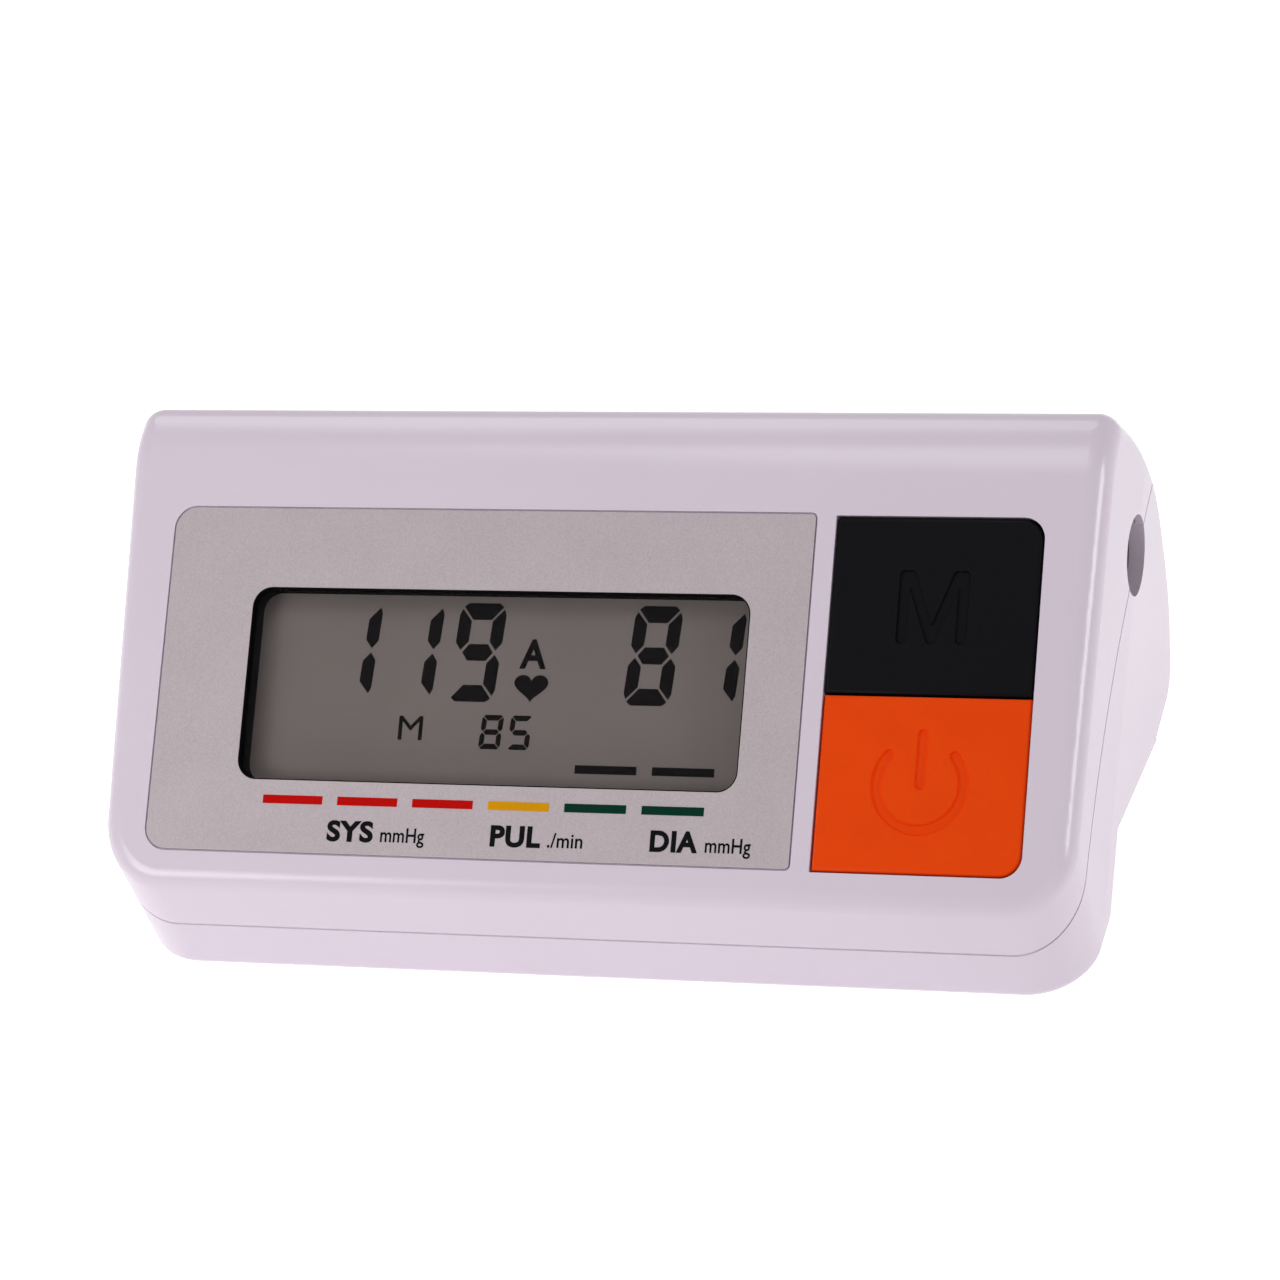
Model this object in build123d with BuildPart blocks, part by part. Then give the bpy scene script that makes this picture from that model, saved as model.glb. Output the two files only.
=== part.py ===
from build123d import *
import os
from math import cos, radians, sin, sqrt, tan

os.makedirs("parts", exist_ok=True)

# Desktop upper-arm blood pressure monitor, millimetres.
# World frame: +X to the user's right, +Y to the rear, +Z up, feet on z = 0.
# Places on the sloping face are (x, v, n): v runs up the face from its sharp
# front edge and n stands out of the face, so everything inside has n < 0.

# ---------------------------------------------------------------- housing
tilt = 37.0                # slope of the display face, degrees from horizontal
crease_height = 18.7       # sharp front edge of the face above the table
face_length = 67.0         # up the face, from its front edge to the top wall
half_width = 68.9          # half width of the face at its front edge
side_flare = 1.4           # degrees each side wall opens towards the top
side_draft = 2.0           # degrees of mould draft on the side walls
front_lean = 6.5           # degrees the front wall leans back going down
wall = 2.2
slab_depth = 24.5          # depth of the slab below the face
front_corner_radius = 9.0  # corners of the housing seen from above
top_corner_radius = 3.0    # from the face's top corners down the rear corners
edge_radius = 3.0          # rounding where the face meets the walls
base_radius = 1.5
roll_length = 9.0          # the face rolls off over this length at the top
roll_radius = 14.0
roll_turn = 30.0           # degrees
base_gap = 0.5             # height of the housing's base above the table
bulge_shoulder = 20.0      # depth where the battery bulge's sides draw in
bulge_draft = 4.5          # degrees
bulge_waist_height = 26.0  # the back is upright between waist and hip
bulge_hip_height = 19.0
bulge_top_radius = 39.0
heel_inset = 5.2           # the bulge's heel stands forward of its back
heel_radius = 5.0
rear_land = 10.6           # flat strip at the heel that carries the rear feet

# ---------------------------------------------------------------- parting line
parting_depth = 7.8        # below the face at the front edge
parting_radius = 118.0     # the line curves away from the face towards the rear
groove_height = 0.3        # shadow line between the covers
groove_depth = 0.6
lip_height = 1.5
lip_clearance = 0.12

# ---------------------------------------------------------------- face pieces
label_x = -15.7            # printed overlay
label_bottom = 4.5
label_width = 92.7
label_height = 47.6
label_thickness = 0.5
label_gap = 0.25
label_left_radius = 3.0
label_right_radius = 0.6
window_x = -13.4           # display window
window_bottom = 14.4
window_width = 72.0
window_height = 26.7
window_radius = 2.8
lens_margin = 2.0
lens_thickness = 1.2
lens_gap = 0.1
well_depth = 3.6           # the display lies this far below the face
well_wall = 1.6
button_x = 47.9            # the two keys share one opening
button_bottom = 4.2
button_width = 28.8
power_height = 23.8
memory_height = 24.0
button_gap = 0.25
button_wall = 1.6
button_right_radius = 3.0
button_left_radius = 0.6
button_travel = 0.5
flange_width = 1.2
flange_thickness = 1.0
flange_clearance = 0.3
button_post_radius = 2.6
button_edge_radius = 0.5

# ---------------------------------------------------------------- circuit board
board_depth = 9.6          # top of the board below the face
board_thickness = 1.6
board_width = 113.0
board_bottom = 3.5
board_setback = 11.0       # its upper edge, below the top wall
board_screw_xs = (-50.6, 29.0)
board_screw_front = 3.2    # screw rows, in from the board's lower and upper edges
board_screw_rear = 7.6
board_boss_radius = 2.5
board_screw_radius = 1.1
board_screw_head_radius = 2.0
board_screw_head = 1.3
board_screw_length = 6.0
screw_clearance = 0.1
glass_thickness = 2.8      # liquid crystal display
glass_margin = 2.2
holder_wall = 1.5
holder_drop = 0.3
holder_rail = 0.6
zebra_width = 2.0          # conductive rubber strips under the glass
zebra_length = 70.0
zebra_inset = 0.8
fit_gap = 0.1
switch_size = 6.0          # tactile switches
switch_body = 3.4
switch_height = 5.0
switch_stem_radius = 1.7
stem_clearance = 0.05
stem_depth = 2.4
processor_size = 12.0
processor_height = 1.6
processor_x = 8.0
processor_v = 20.0
buzzer_radius = 6.0
buzzer_height = 6.5
buzzer_hole = 1.0
buzzer_x = -40.0
buzzer_v = 14.0
capacitor_radius = 4.0
capacitor_height = 9.0
capacitor_rounding = 0.6
capacitor_x = 24.0
capacitor_v = 10.0
sensor_size = 10.0         # pressure sensor under the board
sensor_height = 6.0
sensor_x = -25.0
sensor_drop = 4.2          # down the face from the inlets' axis
crystal_length = 10.0
crystal_width = 4.0
crystal_height = 3.5
crystal_x = -8.0
crystal_v = 12.0

# ---------------------------------------------------------------- battery bay
cell_radius = 7.25         # AA cells, two in line in each of two rows
cell_length = 49.5
cell_nub = 1.0
cell_nub_radius = 2.7
cell_row_gap = 0.5         # between the two rows
cell_gap = 0.05            # between the two cells of a row
cell_clearance = 0.35
bay_slope = 17.1           # the bulge's underside slopes down to the rear, degrees
bay_front_wall = 3.0
bay_wall = 1.5
bay_overrun = 6.0          # the bay runs this far past the sloping underside
door_ledge = 1.3           # the door overlaps the bay's opening on a ledge
door_gap = 0.3
door_end = 25.6            # rear edge of the door, along the sloping underside
door_axis = 3.4            # hinge axis, along the sloping underside
door_radius = 1.1          # rounded edge of the door at its hinge; the door is twice this thick
ledge_gap = 0.15
thumb_depth = 3.0
door_pin_radius = 0.65
door_pin_length = 1.6
door_pin_clearance = 0.05
door_swing = 100.0         # degrees the door opens
latch_width = 16.0
latch_slot = 0.8
latch_length = 7.0
thumb_radius = 9.0
grip_count = 3             # grooves across the latch, for a finger
grip_pitch = 1.8
grip_width = 0.8
grip_depth = 0.4
grip_length = 11.0
spring_gap = 5.0           # room for a contact spring
contact_gap = 1.6          # room for a flat contact
contact_thickness = 0.4
contact_size = 11.0
contact_nose_radius = 2.0
spring_wire = 0.4
spring_radius = 4.0
spring_pitch = 1.5

# ---------------------------------------------------------------- fastenings
case_boss_radius = 3.5
case_boss_x = 62.6
case_screw_front = 9.27    # screw rows, behind the crease and ahead of the heel
case_screw_rear = 24.6
case_boss_top = 4.6        # below the face, clear of the keys
case_screw_radius = 1.4
case_screw_clearance = 0.2
case_screw_head_radius = 2.7
case_screw_head = 1.8
case_seat = 3.0            # floor left over each screw head
case_screw_length = 7.0
case_bore_extra = 0.6
foot_radius = 3.0
foot_thickness = 1.6
front_foot_x = 44.0
front_foot_inset = 9.57    # behind the crease
rear_foot_x = 60.4
foot_margin = 0.2
post_radius = 2.0

# ---------------------------------------------------------------- air and power
port_setback = 15.8        # inlet holes, centred on the parting line, below the top wall
port_radius = 5.5
port_recess = 2.4          # the inlets sit this far inside the side walls
jack_length = 14.0
inlet_radius = 4.9
jack_bore_radius = 3.2
jack_bore_depth = 9.5
jack_pin_radius = 1.05
jack_pin_length = 8.5
jack_root_radius = 1.6     # the pin's root, moulded into the jack
socket_length = 10.0
socket_bore_radius = 2.1
socket_bore_depth = 8.0
stub_radius = 1.6          # hose stubs inside the housing
stub_bore_radius = 0.8
stub_length = 3.5
tube_radius = 2.5
tube_gap = 0.1             # a tube stops this far from what its stub stands on
manifold_left = -48.0
manifold_length = 10.0
manifold_drop = 5.2        # its lower end, down the face from the inlets' axis
manifold_height = 13.0
manifold_top = 12.2        # below the face
manifold_depth = 17.0
manifold_rounding = 1.0
pump_port_rise = 4.4       # the pump's stub, up the face from the inlets' axis
pump_port_n = -19.0
valve_port_drop = 2.2      # the valve's stub, down the face from the inlets' axis
valve_port_n = -24.0
sensor_port_n = -14.4
valve_x = -22.5
valve_length = 15.0
valve_radius = 5.2
valve_nose_radius = 3.4
valve_nose = 2.0
valve_rounding = 0.5
pump_n = -22.4             # its axis is as far up the face as the inlets'
pump_radius = 9.6
pump_left = -12.0
pump_head_length = 15.0
pump_motor_length = 31.0
pump_bearing_radius = 3.0
pump_bearing_length = 1.5
pump_rounding = 0.8
sleeve_thickness = 1.0
sleeve_width = 7.0
head_sleeve_inset = 3.0
motor_sleeve_inset = 10.0
rib_thickness = 2.0
cradle_spread = 8.0
cradle_cup = 6.8           # the pump's cradles end this far below its axis

# ---------------------------------------------------------------- worked-out places
slope = radians(tilt)
lean = radians(front_lean)
turn = radians(roll_turn)
dip = radians(bay_slope)
crease_interior = slope + radians(90.0) - lean
crease_bisector = (slope - radians(90.0) + lean) / 2.0
edge_inset = edge_radius * (cos(crease_bisector) / sin(crease_interior / 2.0) - 1.0)
waist_rise = bulge_waist_height - crease_height
bulge_arc_v = face_length - bulge_top_radius
reach = bulge_top_radius + (bulge_arc_v - waist_rise * sin(slope)) / cos(slope)
bulge_arc_n = waist_rise * cos(slope) - (reach - bulge_top_radius) * sin(slope)
crease_y = -(reach - edge_inset) / 2.0 - edge_inset
back_y = crease_y + reach

board_height = face_length - board_setback - board_bottom
board_screw_vs = (board_bottom + board_screw_front, board_bottom + board_height - board_screw_rear)
port_v = face_length - port_setback
port_n = sqrt(parting_radius**2 - port_v**2) - parting_radius - parting_depth
pump_v = port_v
pump_port_v = port_v + pump_port_rise
valve_port_v = port_v - valve_port_drop
sensor_v = port_v - sensor_drop
manifold_bottom = port_v - manifold_drop

cell_pitch = 2.0 * cell_radius + cell_row_gap
bay_back = bay_front_wall + cell_pitch + 2.0 * (cell_radius + cell_clearance)
bay_half_length = cell_length + cell_nub + (cell_gap + spring_gap + contact_gap) / 2.0
bay_top = wall + cell_clearance + 2.0 * cell_radius + cell_clearance
cell_height = wall + cell_clearance + cell_radius
front_row = bay_front_wall + cell_clearance + cell_radius
rear_row = front_row + cell_pitch
underside = bay_back - bay_overrun
heel_y = back_y - heel_inset
toe_y = heel_y - rear_land
case_screw_ys = (crease_y + case_screw_front, heel_y - case_screw_rear)
front_foot_y = crease_y + front_foot_inset
swing_relief = door_radius * tan(radians(door_swing / 2.0)) + door_gap
bulge_front_y = toe_y - underside * cos(dip)
bulge_front_z = base_gap + underside * sin(dip)

face = Plane(
    origin=(0, crease_y, crease_height),
    x_dir=(1, 0, 0),
    z_dir=(0, -sin(slope), cos(slope)),
)
bay = Plane(
    origin=(0, bulge_front_y, bulge_front_z),
    x_dir=(1, 0, 0),
    z_dir=(0, sin(dip), cos(dip)),
)


def side(v, n):
    """Point (y, z) of the side view that lies v up the face and n out of it."""
    y = crease_y + v * cos(slope) - n * sin(slope)
    z = crease_height + v * sin(slope) + n * cos(slope)
    return (y, z)


def along_x(x, v, n):
    """Plane facing +X at a place on the face frame, its own x running up the face."""
    origin = face.from_local_coords(Vector(x, v, n))
    return Plane(origin=origin, x_dir=face.y_dir, z_dir=(1, 0, 0))


def bay_along_x(x, back, height):
    """Plane facing +X at a place in the battery bay, its own x running to the rear."""
    origin = bay.from_local_coords(Vector(x, back, height))
    return Plane(origin=origin, x_dir=bay.y_dir, z_dir=(1, 0, 0))


def nearest_vertex(sketch, point):
    """The corner of a side-view sketch that lies nearest to a point (y, z)."""
    return sketch.vertices().sort_by(lambda v: (Vector(v) - Vector(*point)).length)[0]


def nearest_edge(part, point):
    """The edge along X whose middle lies nearest to a point (y, z)."""
    target = Vector(0, *point)
    return part.edges().filter_by(Axis.X).sort_by(lambda e: (e.center() - target).length)[0]


# ---------------------------------------------------------------- building blocks
def round_plate(x, v, width, height, top, thickness, radius):
    """A plate lying along the face, rounded in plan, its upper side at depth top."""
    with BuildPart() as plate:
        with BuildSketch(face.offset(-top)):
            with Locations((x, v + height / 2.0)):
                RectangleRounded(width, height, radius)
        extrude(amount=-thickness)
    return plate.part


def label_plate(grow, top, thickness):
    """The printed overlay's outline, grown outwards, as a plate along the face."""
    with BuildPart() as plate:
        with BuildSketch(face.offset(-top)) as outline:
            with Locations((label_x, label_bottom + label_height / 2.0)):
                Rectangle(label_width + 2.0 * grow, label_height + 2.0 * grow)
            left = outline.vertices().group_by(Axis.X)[0]
            fillet(left, radius=label_left_radius + grow)
            right = outline.vertices().group_by(Axis.X)[-1]
            fillet(right, radius=label_right_radius + grow)
        extrude(amount=-thickness)
    return plate.part


def key_plate(bottom, height, top, thickness, meets, width):
    """Outline of a key, or of the keys' opening; meets is +1 or -1 where it meets the other key."""
    with BuildPart() as plate:
        with BuildSketch(face.offset(-top)) as outline:
            with Locations((button_x, bottom + height / 2.0)):
                Rectangle(width, height)
            right = outline.vertices().group_by(Axis.X)[-1].sort_by(Axis.Y)
            left = outline.vertices().group_by(Axis.X)[0].sort_by(Axis.Y)
            ends = slice(0, 2) if meets == 0 else slice(0, 1) if meets > 0 else slice(1, 2)
            fillet(right[ends], radius=button_right_radius)
            fillet(left[ends], radius=button_left_radius)
        extrude(amount=-thickness)
    return plate.part


def block(x, v, top, width, height, depth):
    """A box along the face frame, centred on (x, v), its upper side at depth top."""
    with BuildPart(face.offset(-top)) as box:
        with Locations((x, v)):
            Box(width, height, depth, align=(Align.CENTER, Align.CENTER, Align.MAX))
    return box.part


def bay_block(x, back, height, width, length, rise):
    """A box along the bay frame, from back and height upwards, centred on x."""
    with BuildPart(bay.offset(height)) as box:
        with Locations((x, back)):
            Box(width, length, rise, align=(Align.CENTER, Align.MIN, Align.MIN))
    return box.part


def rod(x, v, n, radius, length):
    """A cylinder along X from x to x + length."""
    with BuildPart(along_x(x, v, n)) as cylinder:
        Cylinder(radius, length, align=(Align.CENTER, Align.CENTER, Align.MIN))
    return cylinder.part


def wall_x(v, n):
    """Where the side wall's outer surface stands at a place on the face frame."""
    spread = v * tan(radians(side_flare))
    return half_width + spread + n * tan(radians(side_draft))


# ---------------------------------------------------------------- housing forms
def flared_prism(depth, half, draft):
    """Everything between the two side walls, from a plane below the face downwards."""
    length = 2.0 * face_length
    spread = length * tan(radians(side_flare))
    with BuildPart() as prism:
        with BuildSketch(face.offset(-depth)):
            with BuildLine():
                Polyline(
                    (-half + spread, -length),
                    (half - spread, -length),
                    (half + spread, length),
                    (-half - spread, length),
                    close=True,
                )
            make_face()
        extrude(amount=-length, taper=draft)
    return prism.part


def housing_form(inset, rounded=False):
    """The whole closed housing, its walls moved inwards by inset."""
    roll_start = face_length - roll_length
    roll_v = roll_start + roll_radius * sin(turn)
    roll_n = -roll_radius * (1.0 - cos(turn))
    ridge_n = roll_n - (face_length - roll_v) * tan(turn)
    waist = (back_y, bulge_waist_height)
    hip = (back_y, bulge_hip_height)
    heel = (heel_y, base_gap)
    joint_n = face.to_local_coords(Vector(0, bulge_front_y, bulge_front_z)).Z
    rise = (slab_depth + joint_n) / sin(slope + dip)
    joint = (bulge_front_y - rise * cos(dip), bulge_front_z + rise * sin(dip))
    foot_v = (base_gap - crease_height + slab_depth * cos(slope)) / sin(slope)
    toe = (crease_y + (crease_height - base_gap) * tan(lean), base_gap)
    half = half_width - inset / cos(radians(side_flare))
    shoulder_half = half - bulge_shoulder * tan(radians(side_draft))
    with BuildPart() as form:
        with BuildSketch(Plane.YZ) as profile:
            with BuildLine():
                Line(side(0, 0), side(roll_start, 0))
                TangentArc(side(roll_start, 0), side(roll_v, roll_n), tangent=(cos(slope), sin(slope)))
                Polyline(side(roll_v, roll_n), side(face_length, ridge_n), side(face_length, bulge_arc_n))
                TangentArc(side(face_length, bulge_arc_n), waist, tangent=(sin(slope), -cos(slope)))
                Line(waist, hip)
                TangentArc(hip, heel, tangent=(0, -1))
                Polyline(heel, (toe_y, base_gap), joint, side(foot_v, -slab_depth), toe, side(0, 0))
            make_face()
            fillet(nearest_vertex(profile, heel), radius=heel_radius)
            if inset:
                offset(amount=-inset, kind=Kind.INTERSECTION)
        extrude(amount=2.0 * half_width, both=True)
        add(flared_prism(0.0, half, side_draft), mode=Mode.INTERSECT)
        front_walls = form.faces().filter_by(lambda f: f.normal_at().Y < -0.9)
        corners = front_walls.edges().filter_by(lambda e: abs(e.center().X) > half_width / 2)
        fillet(corners, radius=front_corner_radius - inset)
        if rounded:
            top_walls = form.faces().filter_by(lambda f: (f.normal_at() - face.y_dir).length < 0.1)
            corners = top_walls.edges().filter_by(lambda e: abs(e.center().X) > half_width / 2)
            fillet(corners, radius=top_corner_radius)
            fillet(nearest_edge(form, side(0, 0)), radius=edge_radius)
            fillet(nearest_edge(form, toe), radius=base_radius)
        drawn_in = flared_prism(bulge_shoulder, shoulder_half, bulge_draft)
        above = block(0.0, 0.0, -face_length, 4 * half_width, 4 * face_length, face_length + bulge_shoulder)
        add([drawn_in, above], mode=Mode.INTERSECT)
    return form.part


def parting_drum(rise):
    """Everything below the curved parting line, moved out of it by rise."""
    axis = along_x(0, 0, -parting_depth - parting_radius)
    with BuildPart(axis) as drum:
        Cylinder(parting_radius + rise, 4 * half_width)
    return drum.part


# ---------------------------------------------------------------- shared forms and places
outer = housing_form(0.0, True)
skin = housing_form(groove_depth)
middle = housing_form(wall / 2.0)
tongue = housing_form(wall / 2.0 + lip_clearance)
inner = housing_form(wall)
below = parting_drum(0.0)
lip_band = parting_drum(lip_height)
inlet_x = wall_x(port_v, port_n) - port_recess
inlet_rib_x = inlet_x - jack_length / 2.0
jack_root_length = jack_length - jack_bore_depth
memory_bottom = button_bottom + power_height
power_v = button_bottom + power_height / 2.0
memory_v = memory_bottom + memory_height / 2.0
board_under = board_depth + board_thickness
switch_top = board_depth - switch_height
window_v = window_bottom + window_height / 2.0
board_middle_v = board_bottom + board_height / 2.0
pump_middle = bay.to_local_coords(face.from_local_coords(Vector(0, pump_v, pump_n)))
valve_middle = bay.to_local_coords(face.from_local_coords(Vector(0, valve_port_v, valve_port_n)))
cradle_rise = pump_middle.Z - bay_top - cradle_cup
pump_length = pump_head_length + pump_motor_length
pump_right = pump_left + pump_length
head_rib_x = pump_left + head_sleeve_inset + sleeve_width / 2.0
motor_rib_x = pump_right - motor_sleeve_inset - sleeve_width / 2.0
pump_rib_xs = (head_rib_x, motor_rib_x)
valve_left = valve_x - valve_length / 2.0
manifold_x = manifold_left + manifold_length / 2.0
manifold_foot = bay.to_local_coords(face.from_local_coords(Vector(0, pump_v, -manifold_top - manifold_depth)))
manifold_post = (manifold_foot.Z - bay_top) / cos(slope + dip)
rear_foot_y = toe_y + foot_radius + foot_margin
face_axis = Axis(face.origin, face.z_dir)


def parting_z(y):
    """Height of the parting line above a place y of the base."""
    centre = side(0, -parting_depth - parting_radius)
    return centre[1] + sqrt(parting_radius**2 - (y - centre[0]) ** 2)


# columns that the case screws join, and their webs to the side walls
with BuildPart() as columns:
    for y in case_screw_ys:
        for hand in (-1, 1):
            with Locations((hand * case_boss_x, y, 0)):
                Cylinder(case_boss_radius, 100, align=(Align.CENTER, Align.CENTER, Align.MIN))
            with Locations((hand * (case_boss_x + half_width) / 2.0, y, 0)):
                Box(half_width - case_boss_x, case_boss_radius, 100, align=(Align.CENTER, Align.CENTER, Align.MIN))
    add(middle, mode=Mode.INTERSECT)
    add(block(0, 0, -face_length, 4 * half_width, 4 * face_length, face_length + case_boss_top), mode=Mode.SUBTRACT)

# what stands on the floor and on the battery bay's roof
with BuildPart() as supports:
    add(
        bay_block(
            0,
            bay_front_wall - bay_wall,
            -wall,
            2.0 * (bay_half_length + bay_wall),
            bay_back - bay_front_wall + 2.0 * bay_wall,
            bay_top + bay_wall + wall,
        )
    )
    for v in (power_v, memory_v):
        with Locations(face.offset(-board_under) * Pos(button_x, v)):
            Cylinder(post_radius, slab_depth, align=(Align.CENTER, Align.CENTER, Align.MAX))
    for x in pump_rib_xs:
        add(bay_block(x, pump_middle.Y - cradle_spread, bay_top, rib_thickness, 2.0 * cradle_spread, cradle_rise))
    add(
        bay_block(
            valve_x,
            valve_middle.Y - cradle_spread / 2.0,
            bay_top,
            rib_thickness,
            cradle_spread,
            valve_middle.Z - bay_top - valve_radius / 2.0,
        )
    )
    add(block(manifold_x, pump_v, manifold_top + manifold_depth, 2 * rib_thickness, rib_thickness, manifold_post))
    for hand in (-1, 1):
        with Locations((hand * inlet_rib_x, side(port_v, port_n)[0], side(port_v, port_n)[1] - inlet_radius / 2.0)):
            Box(rib_thickness, 2.0 * inlet_radius, 100, align=(Align.CENTER, Align.CENTER, Align.MAX))
    add(middle, mode=Mode.INTERSECT)
    add(rod(pump_left, pump_v, pump_n, pump_radius + sleeve_thickness, pump_length), mode=Mode.SUBTRACT)
    add(rod(valve_left, valve_port_v, valve_port_n, valve_radius, valve_length), mode=Mode.SUBTRACT)
    add(rod(-inlet_x, port_v, port_n, inlet_radius, 2 * inlet_x), mode=Mode.SUBTRACT)

# ---------------------------------------------------------------- covers
with BuildPart() as top_cover:
    add(outer)
    add(inner, mode=Mode.SUBTRACT)
    add(below, mode=Mode.SUBTRACT)
    add(middle & parting_drum(lip_height + fit_gap), mode=Mode.SUBTRACT)
    # frame that carries the display behind the window
    add(
        round_plate(
            window_x,
            window_bottom - well_wall,
            window_width + 2.0 * well_wall,
            window_height + 2.0 * well_wall,
            wall - fit_gap,
            well_depth - wall + fit_gap,
            window_radius + well_wall,
        )
    )
    # bosses for the circuit board, and for the case screws
    with Locations([face.offset(-board_depth) * Pos(x, v) for x in board_screw_xs for v in board_screw_vs]):
        Cylinder(board_boss_radius, board_depth - wall + fit_gap, align=(Align.CENTER, Align.CENTER, Align.MIN))
    add(columns.part - below - (lip_band - inner))
    # recess for the printed overlay, seat for the window, window and key openings
    add(label_plate(label_gap, 0.0, label_thickness), mode=Mode.SUBTRACT)
    add(
        round_plate(
            window_x,
            window_bottom - lens_margin - lens_gap,
            window_width + 2.0 * (lens_margin + lens_gap),
            window_height + 2.0 * (lens_margin + lens_gap),
            0.0,
            label_thickness + lens_thickness,
            window_radius + lens_margin + lens_gap,
        ),
        mode=Mode.SUBTRACT,
    )
    add(
        round_plate(window_x, window_bottom, window_width, window_height, 0.0, board_depth, window_radius),
        mode=Mode.SUBTRACT,
    )
    add(
        key_plate(button_bottom, power_height + memory_height, -1.0, well_depth + 1.0, 0, button_width),
        mode=Mode.SUBTRACT,
    )
    # screw holes, and the inlet holes in the side walls
    with Locations([face.offset(-board_depth) * Pos(x, v) for x in board_screw_xs for v in board_screw_vs]):
        Cylinder(
            board_screw_radius,
            board_screw_length - board_thickness,
            align=(Align.CENTER, Align.CENTER, Align.MIN),
            mode=Mode.SUBTRACT,
        )
    for y in case_screw_ys:
        with Locations((case_boss_x, y, parting_z(y)), (-case_boss_x, y, parting_z(y))):
            Cylinder(
                case_screw_radius,
                2.0 * (case_screw_length - case_seat + case_bore_extra),
                mode=Mode.SUBTRACT,
            )
    add(rod(-2 * half_width, port_v, port_n, port_radius, 4 * half_width), mode=Mode.SUBTRACT)
top_cover.part.label = "top_cover"
export_step(top_cover.part, "parts/top_cover.step")

with BuildPart() as bottom_cover:
    add(outer)
    add(inner, mode=Mode.SUBTRACT)
    add(below, mode=Mode.INTERSECT)
    # shadow line under the parting line, and the lip that enters the top cover
    add(below - parting_drum(-groove_height) - skin, mode=Mode.SUBTRACT)
    add((tongue - inner) & lip_band)
    add(columns.part & below)
    add(supports.part)
    # battery bay, its opening, the ledge round the door and the hinge relief
    add(
        bay_block(
            0,
            bay_front_wall,
            -wall,
            2.0 * bay_half_length,
            bay_back - bay_front_wall,
            bay_top + wall,
        )
        & inner,
        mode=Mode.SUBTRACT,
    )
    add(
        bay_block(
            0,
            door_axis,
            -wall,
            2.0 * (bay_half_length + door_gap),
            door_end - door_ledge + door_gap - door_axis,
            2.0 * wall,
        ),
        mode=Mode.SUBTRACT,
    )
    add(
        bay_block(
            0,
            door_axis,
            -wall,
            2.0 * (bay_half_length + door_ledge + door_gap),
            door_end + door_gap - door_axis,
            wall + door_radius + ledge_gap,
        ),
        mode=Mode.SUBTRACT,
    )
    add(
        bay_block(
            0,
            door_axis - swing_relief,
            -wall,
            2.0 * (bay_half_length + door_ledge + door_gap),
            swing_relief,
            wall + door_radius,
        ),
        mode=Mode.SUBTRACT,
    )
    with Locations(bay_along_x(0, door_axis, door_radius)):
        Cylinder(
            door_radius + door_gap,
            2.0 * (bay_half_length + door_ledge + door_gap),
            mode=Mode.SUBTRACT,
        )
        Cylinder(
            door_pin_radius + door_pin_clearance,
            2.0 * (bay_half_length + door_ledge + door_pin_length + door_gap),
            mode=Mode.SUBTRACT,
        )
    # thumb recess behind the door's latch
    with Locations(bay * Pos(0, door_end + thumb_radius - thumb_depth)):
        Cylinder(thumb_radius, 2.0 * wall / 3.0, mode=Mode.SUBTRACT)
    # screw holes with their counterbores, foot recesses and inlet holes
    for y in case_screw_ys:
        with Locations((case_boss_x, y, parting_z(y)), (-case_boss_x, y, parting_z(y))):
            Cylinder(case_screw_radius + case_screw_clearance, 2.0 * wall + 2.0 * case_seat, mode=Mode.SUBTRACT)
        with Locations((case_boss_x, y, parting_z(y) - case_seat), (-case_boss_x, y, parting_z(y) - case_seat)):
            Cylinder(
                case_screw_head_radius + case_screw_clearance,
                100,
                align=(Align.CENTER, Align.CENTER, Align.MAX),
                mode=Mode.SUBTRACT,
            )
    with Locations(
        (front_foot_x, front_foot_y, 0),
        (-front_foot_x, front_foot_y, 0),
        (rear_foot_x, rear_foot_y, 0),
        (-rear_foot_x, rear_foot_y, 0),
    ):
        Cylinder(foot_radius, foot_thickness, align=(Align.CENTER, Align.CENTER, Align.MIN), mode=Mode.SUBTRACT)
    add(rod(-2 * half_width, port_v, port_n, port_radius, 4 * half_width) - inner, mode=Mode.SUBTRACT)
bottom_cover.part.label = "bottom_cover"
export_step(bottom_cover.part, "parts/bottom_cover.step")


# ---------------------------------------------------------------- face pieces
with BuildPart() as face_label:
    add(label_plate(0.0, 0.0, label_thickness))
    add(
        round_plate(window_x, window_bottom, window_width, window_height, 0.0, label_thickness, window_radius),
        mode=Mode.SUBTRACT,
    )
face_label.part.label = "face_label"
export_step(face_label.part, "parts/face_label.step")

with BuildPart() as display_lens:
    add(
        round_plate(
            window_x,
            window_bottom - lens_margin,
            window_width + 2.0 * lens_margin,
            window_height + 2.0 * lens_margin,
            label_thickness,
            lens_thickness,
            window_radius + lens_margin,
        )
    )
display_lens.part.label = "display_lens"
export_step(display_lens.part, "parts/display_lens.step")


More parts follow.
